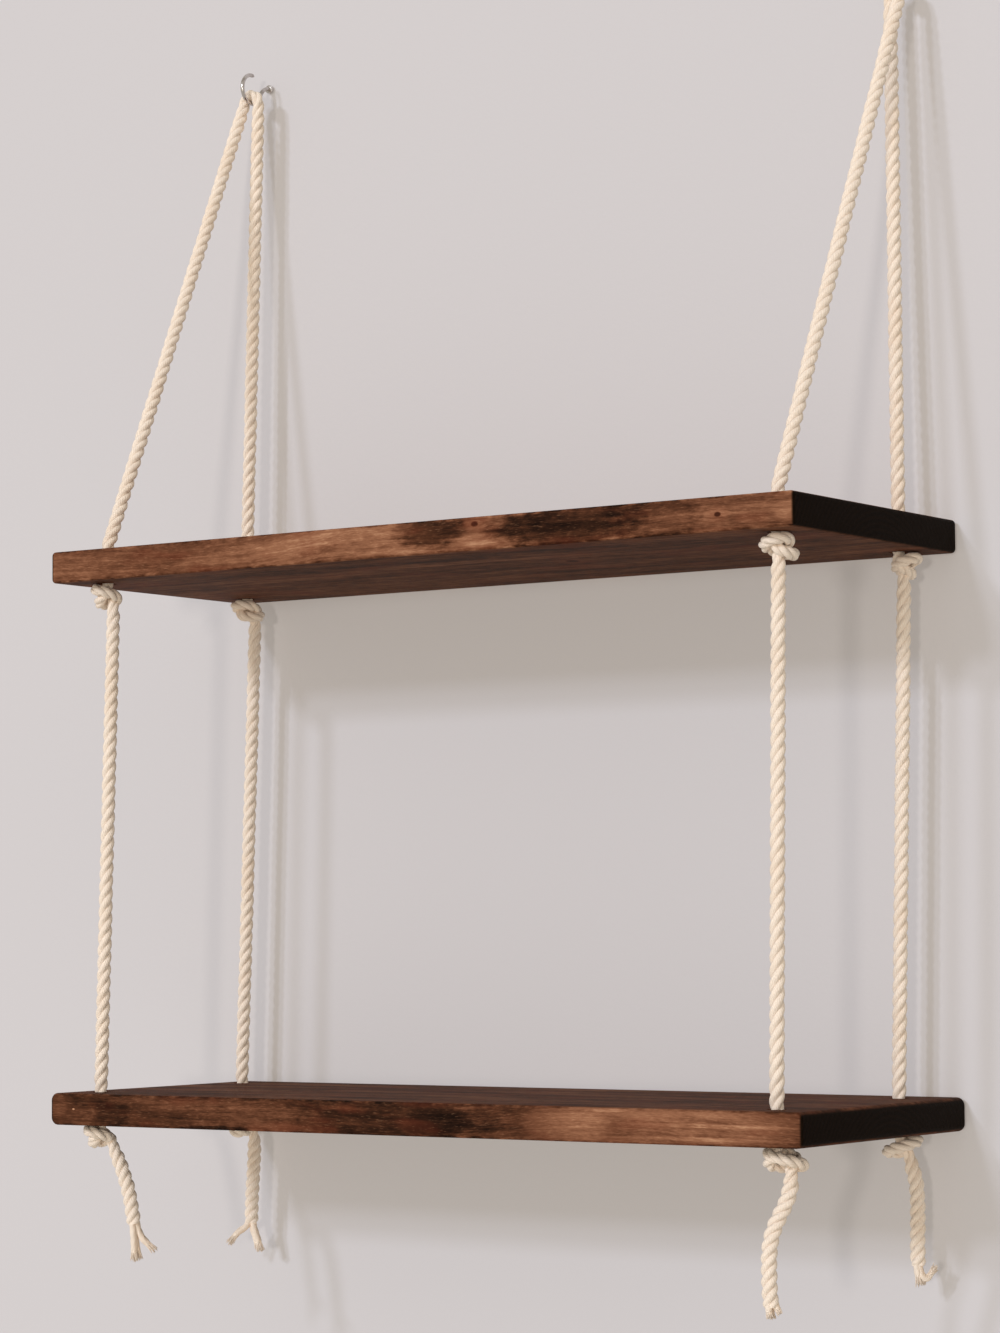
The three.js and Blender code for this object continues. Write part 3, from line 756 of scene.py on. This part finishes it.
def hook(side):
    """A screw hook: collar, threaded screw, and wire bent down and round into an open ring."""
    x = SIDES[side] * HOLE_X
    bpy.ops.mesh.primitive_circle_add(vertices=WIRE_SIDES, radius=WIRE / 2 * MM,
                                      location=at(x, WIRE_ROOT, 0), rotation=(math.pi / 2, 0, 0))
    wire = settled()
    bpy.ops.object.mode_set(mode="EDIT")
    bpy.ops.mesh.select_all(action="SELECT")
    extrude(0, NECK_START - WIRE_ROOT, 0)
    bpy.ops.mesh.spin(steps=NECK_STEPS, angle=math.radians(NECK_TURN),
                      center=at(x, NECK_START, -NECK_BEND), axis=(-1, 0, 0))
    bpy.ops.mesh.spin(steps=RING_STEPS, angle=math.radians(RING_TURN),
                      center=at(x, -HOOK_REACH, -HOOK_SAG), axis=(1, 0, 0))
    end = math.radians(RING_TIP)
    tip = np.array((x, -HOOK_REACH + RING * math.cos(end), -HOOK_SAG + RING * math.sin(end)))
    ahead = np.array((0, math.sin(end), -math.cos(end)))
    before = 0
    for angle in TIP_ROUNDS:
        now = math.radians(angle)
        lift = WIRE / 2 * (math.sin(now) - math.sin(before))
        extrude(*(ahead * lift))
        share = math.cos(now) / math.cos(before)
        centre = at(*(tip + ahead * WIRE / 2 * math.sin(now)))
        bpy.ops.transform.resize(value=(share, share, share), center_override=centre)
        before = now
    bpy.ops.mesh.edge_face_add()
    bpy.ops.object.mode_set(mode="OBJECT")

    def turned(start, end, wide, end_wide):
        """A round piece of the screw."""
        bpy.ops.mesh.primitive_cone_add(
            vertices=TURNED_SIDES, radius1=wide / 2 * MM, radius2=end_wide / 2 * MM,
            depth=(end - start) * MM, location=at(x, (start + end) / 2, 0),
            rotation=(-math.pi / 2, 0, 0))
        return settled()

    collar = turned(-COLLAR_LONG, 0, COLLAR_WIDE, COLLAR_WIDE)
    edge = collar.modifiers.new("edge", "BEVEL")
    edge.width, edge.segments = COLLAR_EDGE * MM, COLLAR_STEPS
    edge.limit_method, edge.angle_limit = "ANGLE", math.radians(COLLAR_ANGLE)
    bpy.ops.object.modifier_apply(modifier=edge.name)
    shank = turned(0, SHANK_END, SCREW_WIDE, SCREW_WIDE)
    core = turned(SHANK_END, CORE_END, CORE_WIDE, CORE_WIDE)
    point = turned(CORE_END, SCREW_END, CORE_WIDE, POINT_WIDE)

    # The thread's profile, upright on the core, and then wound along it
    foot = at(x, THREAD_START, CORE_WIDE / 2)
    bpy.ops.mesh.primitive_plane_add(size=THREAD_SIZE * MM, location=foot,
                                     rotation=(0, math.pi / 2, 0))
    thread = bpy.context.object
    bpy.ops.object.mode_set(mode="EDIT")
    bpy.ops.mesh.select_all(action="SELECT")
    bpy.ops.transform.resize(value=(1, 1, THREAD_TALL), center_override=foot)
    choose(thread, "VERT", lambda vertex: (thread.matrix_world @ vertex.co).z > foot[2])
    bpy.ops.transform.resize(value=(1, THREAD_CREST, 1), center_override=foot)
    bpy.ops.object.mode_set(mode="OBJECT")
    settled()
    scene.cursor.location = at(x, 0, 0)
    bpy.ops.object.origin_set(type="ORIGIN_CURSOR")
    winding = thread.modifiers.new("winding", "SCREW")
    winding.axis, winding.screw_offset, winding.iterations = "Y", THREAD_PITCH * MM, THREAD_TURNS
    winding.steps = winding.render_steps = THREAD_STEPS
    bpy.ops.object.modifier_apply(modifier=winding.name)
    settled()

    metal = joined(f"{side}_hook_metal", wire, collar, shank, core, point, thread)
    bpy.ops.object.mode_set(mode="EDIT")
    bpy.ops.mesh.select_all(action="SELECT")
    bpy.ops.mesh.normals_make_consistent(inside=False)
    bpy.ops.object.mode_set(mode="OBJECT")
    bpy.ops.object.shade_smooth_by_angle(angle=math.radians(CREASE["metal"]))
    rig.ride(metal, "wall_hooks")
    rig.replaces(metal, f"{side}_hook")
    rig.slot(metal, "hook_steel")
    return metal


hooks = [hook(side) for side in SIDES]


# Materials
class Value:
    """A socket in a shader tree, with arithmetic that adds Math nodes."""

    def __init__(self, finish, socket):
        self.finish, self.socket = finish, socket

    def math(self, operation, *others):
        values = dict(enumerate((self, *others)))
        return self.finish.add("ShaderNodeMath", operation=operation, values=values)

    def __add__(self, other):
        return self.math("ADD", other)

    def __sub__(self, other):
        return self.math("SUBTRACT", other)

    def __mul__(self, other):
        return self.math("MULTIPLY", other)

    def __pow__(self, other):
        return self.math("POWER", other)

    def __rsub__(self, other):
        return self.finish.add("ShaderNodeMath", operation="SUBTRACT", values={0: other, 1: self})

    __radd__ = __add__

    def between(self, low, high):
        """0 below low, 1 above high, and smooth between them."""
        return self.finish.add("ShaderNodeMapRange", interpolation_type="SMOOTHSTEP",
                               values={"Value": self, "From Min": low, "From Max": high})


class Finish:
    """A material and the nodes in it."""

    def __init__(self, name):
        self.material = bpy.data.materials.new(name)
        self.material.use_nodes = True
        self.nodes, self.links = self.material.node_tree.nodes, self.material.node_tree.links
        self.nodes.clear()

    def add(self, kind, out=0, values=(), **settings):
        """A node of this kind, with its settings and then its sockets' values or links."""
        node = self.nodes.new(kind)
        for key, value in settings.items():
            setattr(node, key, value)
        for key, value in dict(values).items():
            if isinstance(value, Value):
                self.links.new(value.socket, node.inputs[key])
            else:
                node.inputs[key].default_value = value
        return None if out is None else Value(self, node.outputs[out])

    def parts(self, vector):
        """The three numbers of a vector."""
        first = self.add("ShaderNodeSeparateXYZ", values={0: vector})
        return [Value(self, output) for output in first.socket.node.outputs]

    def scaled(self, vector, scale, move=(0, 0, 0)):
        """A vector scaled along each axis, and moved."""
        return self.add("ShaderNodeMapping",
                        values={"Vector": vector, "Location": move, "Scale": scale})

    def noise(self, vector, scale=1.0, detail=2.0, roughness=0.5):
        """Soft noise from 0 to 1."""
        return self.add("ShaderNodeTexNoise", values={
            "Vector": vector, "Scale": scale, "Detail": detail, "Roughness": roughness})

    def mixed(self, share, first, second):
        """A share of the second colour over the first."""
        return self.add("ShaderNodeMix", 2, data_type="RGBA",
                        values={0: share, 6: first, 7: second})

    def ramp(self, tone, *colours):
        """The colour at a tone from 0 to 1, from colours an even step apart."""
        found = self.add("ShaderNodeValToRGB", values={0: tone})
        elements = found.socket.node.color_ramp.elements
        elements[0].color, elements[1].color = colours[0], colours[-1]
        for i, colour in enumerate(colours[1:-1], 1):
            elements.new(i / (len(colours) - 1)).color = colour
        return found

    def bump(self, height, distance, strength=1.0):
        """The surface's direction over this height, with its distance in metres."""
        return self.add("ShaderNodeBump",
                        values={"Height": height, "Distance": distance, "Strength": strength})

    def surface(self, shader):
        """The material, with this shader as its surface."""
        self.add("ShaderNodeOutputMaterial", None, values={"Surface": shader})
        return self.material

    def shaded(self, **sockets):
        """The material, from the main shader's sockets."""
        values = {key.replace("_", " "): value for key, value in sockets.items()}
        return self.surface(self.add("ShaderNodeBsdfPrincipled", subsurface_method="BURLEY",
                                     values=values))


def rgb(red, green, blue):
    """A colour given as 0 to 255, made linear."""
    share = [v / 255 for v in (red, green, blue)]
    return (*[v / 12.92 if v <= 0.04045 else ((v + 0.055) / 1.055) ** 2.4 for v in share], 1)


def cotton_rope():
    """Undyed cotton: yarns along the strands, painted shade between the yarns and in the strands' grooves, short
    fibres.
    """
    pale, yarn_shade, groove_shade = rgb(255, 241, 227), rgb(240, 214, 190), rgb(222, 186, 150)
    worn, fluff = rgb(244, 221, 198), rgb(228, 204, 178)
    round_yarns, along_yarns = 24, 21.5     # yarns across the rope's skin, and their slant
    cotton = Finish("natural_cotton")
    place = cotton.add("ShaderNodeTexCoord", 3)
    round_it, along, _ = cotton.parts(cotton.add("ShaderNodeTexCoord", 2))
    yarn = round_it * round_yarns + along * along_yarns + cotton.noise(place, 260) * 1.2
    ridge = ((yarn * (2 * math.pi)).math("SINE") * 0.5 + 0.5) ** 0.6
    groove = ((round_it * 3).math("FRACT") - 0.5).math("ABSOLUTE").between(0.36, 0.5)
    fibre = cotton.noise(place, 2400, detail=3, roughness=0.6)
    patch = cotton.noise(place, 40, detail=3)
    # painted shade: darker between the yarns
    colour = cotton.mixed((1 - ridge) * 0.35, pale, yarn_shade)
    # painted shade: darker in the grooves between the strands
    colour = cotton.mixed(groove * 0.4, colour, groove_shade)
    colour = cotton.mixed(patch.between(0.45, 0.7) * 0.4, colour, worn)
    colour = cotton.mixed((1 - fibre.between(0.36, 0.5)) * 0.3, colour, fluff)
    return cotton.shaded(
        Base_Color=colour, Roughness=0.84 + fibre * 0.14, Specular_IOR_Level=0.2,
        Sheen_Weight=0.3, Sheen_Roughness=0.5,
        Subsurface_Weight=0.25, Subsurface_Radius=(1, 1, 1), Subsurface_Scale=0.0014,
        Normal=cotton.bump(ridge * 0.55 + fibre * 0.6, 0.00025))


STAIN = (rgb(27, 14, 8), rgb(52, 30, 19), rgb(84, 50, 33),
         rgb(119, 76, 54), rgb(152, 104, 77), rgb(190, 142, 110))
RED_WOOD, BARE_FLECK = rgb(112, 52, 34), rgb(184, 140, 108)
# end grain colours: the grain takes more stain, and they are made darker still as painted shade on the ends
END_RING_IN_SHADE, END_WOOD_IN_SHADE = rgb(18, 10, 4), rgb(33, 20, 10)
BROAD, MOTTLE, STREAK, FLECK = 0.7, 0.44, 0.52, 0.38    # shares of each grain in the tone
DRIFT = 0.022                   # metres by which the grain wanders
KNOT_BEND, KNOT_PUSH = 2.5, 0.5 # of a knot's size: how far off the grain bends, and by how much
PITH_Y, PITH_Z = 0.09, 0.05     # metres from the tree's middle
PITH_RINGS = 1800               # radians of ring in a metre


def stained_wood(name, top, stain, slide, patches, knots):
    """Softwood under a dark stain: mottled grain, stain that took unevenly, knots, near-black ends that are partly
    painted shade, and painted shade on the underside.

    stain is the plain tone from 0, black-brown, to 1, bare. A patch is (x, z from the top, half
    width, half height, change of tone) on the front face; a knot is (x, y, z from the top,
    size). slide moves the grain, so that the boards differ."""
    wood = Finish(name)
    place = wood.add("ShaderNodeTexCoord", 3)
    x, y, z = wood.parts(place)
    z = z - (top - BOARD_THICK / 2) * MM
    drift = (wood.noise(wood.scaled(place, (5, 6, 8), slide), detail=1) - 0.5) * DRIFT
    rise = drift
    dark_knot, red_knot = 0, 0
    for knot_x, knot_y, knot_z, size in knots:      # the grain runs round a knot
        near = 1 / (size * MM)
        across, up = (x - knot_x * MM) * near, z - (knot_z + BOARD_THICK / 2) * MM
        deep = (y - knot_y * MM) * near
        rest = across * across * 0.4 + deep * deep * 0.3
        away = rest + (up * near) ** 2
        dark_knot = dark_knot + (1 - away.between(0.25, 1.1))
        red_knot = red_knot + (1 - away.between(0.6, 14))
        bulge = up * (math.pi / (size * KNOT_BEND * MM))
        bulge = bulge.math("MAXIMUM", -math.pi).math("MINIMUM", math.pi).math("SINE")
        rise = rise - bulge * (1 - rest.between(0, 16)) * (size * KNOT_PUSH * MM)
    grain = wood.add("ShaderNodeCombineXYZ", values={0: x, 1: y + drift * 0.7, 2: z + rise})
    broad = wood.noise(wood.scaled(grain, (9, 50, 110), slide)) - 0.5
    mottle = wood.noise(wood.scaled(place, (120, 170, 260), slide), detail=3, roughness=0.62) - 0.5
    streak = wood.noise(wood.scaled(grain, (24, 330, 640), slide), detail=3, roughness=0.6) - 0.5
    fleck = wood.noise(wood.scaled(grain, (260, 1500, 1900), slide)) - 0.5
    hue = wood.noise(wood.scaled(place, (24, 40, 90), slide))
    tone = broad * BROAD + mottle * MOTTLE + streak * STREAK + fleck * FLECK + stain
    front = 1 - y.between(*at(FRONT_Y + 0.4, FRONT_Y + 5))
    for patch_x, patch_z, wide, tall, change in patches:
        across = (x - patch_x * MM) * (1 / (wide * MM))
        up = (z - (patch_z + BOARD_THICK / 2) * MM) * (1 / (tall * MM))
        oval = across * across + up * up + mottle * 1.2 + streak * 0.4 + broad * 1.2
        tone = tone + (1 - oval.between(0.25, 1.35)) * front * change
    height, half = z.math("ABSOLUTE"), BOARD_THICK / 2
    # the top and the underside, back from the front face, where painted light and shade go
    painted_shading_faces = height.between(*at(half - 0.7, half - 0.05)) * (1 - front)
    front_edge = 1 - y.between(*at(FRONT_Y + 0.4, FRONT_Y + 2.2))
    arris = height.between(*at(half - 1.7, half - 0.4)) * front_edge
    tone = tone - painted_shading_faces * (z.math("SIGN") * -0.12 + 0.09)    # painted shade and light: the underside darker, the top a little lighter
    tone = tone + arris * (mottle * 1.1 - 0.05) - dark_knot * 0.6 + red_knot * 0.06
    colour = wood.ramp(tone, *STAIN)
    colour = wood.mixed((hue.between(0.5, 0.72) + red_knot * 0.6) * 0.3, colour, RED_WOOD)
    colour = wood.mixed(fleck.between(0.1, 0.25) * 0.16, colour, BARE_FLECK)
    ring = ((y + PITH_Y) ** 2 + (z + PITH_Z) ** 2).math("SQRT") * PITH_RINGS + mottle * 6
    # near-black end grain, darkened partly by its stain and partly as painted shade
    end_grain_and_shade = wood.mixed(ring.math("SINE").between(-0.4, 1) * 0.35, END_RING_IN_SHADE, END_WOOD_IN_SHADE)
    at_end = x.math("ABSOLUTE").between(*at(BOARD_LENGTH / 2 - 2.2, BOARD_LENGTH / 2 - 0.6))
    colour = wood.mixed(at_end, colour, end_grain_and_shade)
    return wood.shaded(Base_Color=colour, Roughness=0.66 + fleck * 0.4, Specular_IOR_Level=0.035,
                       Normal=wood.bump(streak * 0.6 + fleck * 0.7 + mottle * 0.3, 0.00035, 0.7))


def bright_steel():
    """Plated steel wire: fine lines from drawing, a few dull places."""
    steel = Finish("bright_steel")
    place = steel.add("ShaderNodeTexCoord", 3)
    lines = steel.noise(steel.scaled(place, (900, 900, 120)), detail=3, roughness=0.6)
    dull = steel.noise(place, 180, detail=3, roughness=0.6)
    colour = steel.mixed(dull.between(0.4, 0.7), rgb(206, 200, 196), rgb(168, 160, 154))
    roughness = 0.16 + lines * 0.14 + dull.between(0.5, 0.8) * 0.14
    return steel.shaded(Base_Color=colour, Metallic=1.0, Roughness=roughness,
                        Normal=steel.bump(lines, 0.00006, 0.35))


GLOW_SHARE = 0.33               # of a backdrop's look that doesn't come from the lights


def pale_backdrop(name, colour, glow_colour):
    """Paint that shows its lit side only, so that the shelf is seen from behind and below too."""
    paint = Finish(name)
    grain = paint.noise(paint.add("ShaderNodeTexCoord", 3), 220, detail=3, roughness=0.6)
    rough = paint.bump(grain, 0.0004, 0.25)
    shader = paint.add("ShaderNodeBsdfDiffuse", values={"Color": colour, "Normal": rough})
    glow = paint.add("ShaderNodeEmission", values={"Color": glow_colour})
    shader = paint.add("ShaderNodeMixShader", values={0: GLOW_SHARE, 1: shader, 2: glow})
    rays = paint.add("ShaderNodeLightPath")
    seen = rays + Value(paint, rays.socket.node.outputs["Is Glossy Ray"])
    seen = seen * (1 - paint.add("ShaderNodeNewGeometry", 6))
    clear = paint.add("ShaderNodeBsdfTransparent")
    return paint.surface(paint.add("ShaderNodeMixShader", values={0: seen, 1: clear, 2: shader}))


def dress(material, *pieces):
    """Gives these pieces this material and no other."""
    for piece in pieces:
        piece.data.materials.clear()
        piece.data.materials.append(material)


dress(cotton_rope(), *rope_pieces)
dress(bright_steel(), *hooks)
dress(stained_wood("stained_wood_upper", UPPER_TOP, 0.62, (3.1, 0.4, 1.7), [
    (-35, -10, 70, 12, 0.14), (22, -6, 24, 10, -0.36), (11, -17, 14, 1.8, 0.12),
    (58, -13.5, 17, 4.5, 0.24), (118, -9, 52, 16, -0.36), (92, -3, 22, 5, -0.1),
    (172, -9, 32, 15, -0.17), (255, -12, 9, 4, 0.16),
], [
    (54, -186, -4.2, 1.7), (212, -186, -9.8, 1.5), (64, -102, -19, 2.6),
]), upper_board)
dress(stained_wood("stained_wood_lower", LOWER_TOP, 0.38, (7.3, 2.2, 5.9), [
    (-253, -8, 7, 8, 0.1), (-212, -12, 16, 8, -0.16), (-140, -7, 46, 5, 0.1),
    (-132, -18, 26, 1.6, -0.3), (-5, -10, 70, 16, -0.12), (178, -9, 86, 14, 0.3),
    (205, -8.5, 58, 1.2, 0.16), (205, -15.5, 58, 1.2, 0.16), (138, -1.5, 14, 1.2, 0.2),
    (-241, -9.3, 1, 0.6, 0.9), (110, -9, 28, 14, 0.17), (26, -9, 20, 13, -0.12),
], [
    (142, -52, 0, 2.4),
]), lower_board)

# Wall and floor, in metres, and the lights
BACKDROP_SIZE = 4
for name, place, turn, colour, glow in (
    ("wall", (0, 0.0008, -0.6), (math.pi / 2, 0, 0), rgb(211, 210, 219), rgb(216, 205, 192)),
    ("floor", (0, -1.9, -1.1), (0, 0, 0), rgb(220, 218, 217), rgb(224, 217, 208)),
):
    bpy.ops.mesh.primitive_plane_add(size=BACKDROP_SIZE, location=place, rotation=turn)
    backdrop = bpy.context.object
    backdrop.name = name
    dress(pale_backdrop(f"{name}_paint", colour, glow), backdrop)
    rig.stage(backdrop)

DAYLIGHT, LAMPLIGHT = (0.95, 1, 1.1), (1.05, 0.95, 0.8)
ROOM_LIGHT, ROOM_STRENGTH = (1, 0.94, 0.84, 1), 0.53
# Each light's way to the right in degrees, fall for each metre forward, width in degrees,
# strength and tint
for name, aside, fall, wide, strength, tint in (
    ("window", 6.5, 0.33, 4, 0.5, DAYLIGHT),
    ("door", 14, 0.41, 4, 0.65, DAYLIGHT),
    ("lamp", -16, 0, 5, 0.55, LAMPLIGHT),
):
    light = bpy.data.lights.new(name, "SUN")
    light.energy, light.angle, light.color = strength, math.radians(wide), tint
    sun = bpy.data.objects.new(name, light)
    way = Vector((math.tan(math.radians(aside)), 1, -fall))
    sun.rotation_euler = way.to_track_quat("-Z", "Y").to_euler()
    scene.collection.objects.link(sun)
world = bpy.data.worlds.new("room")
world.use_nodes = True
background = world.node_tree.nodes["Background"]
background.inputs["Color"].default_value = ROOM_LIGHT
background.inputs["Strength"].default_value = ROOM_STRENGTH
scene.world = world

with open("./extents.json", "w") as sizes:
    json.dump({"cad": [list(corner) for corner in cad_box], "visual": [list(corner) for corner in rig.bounds()]}, sizes)
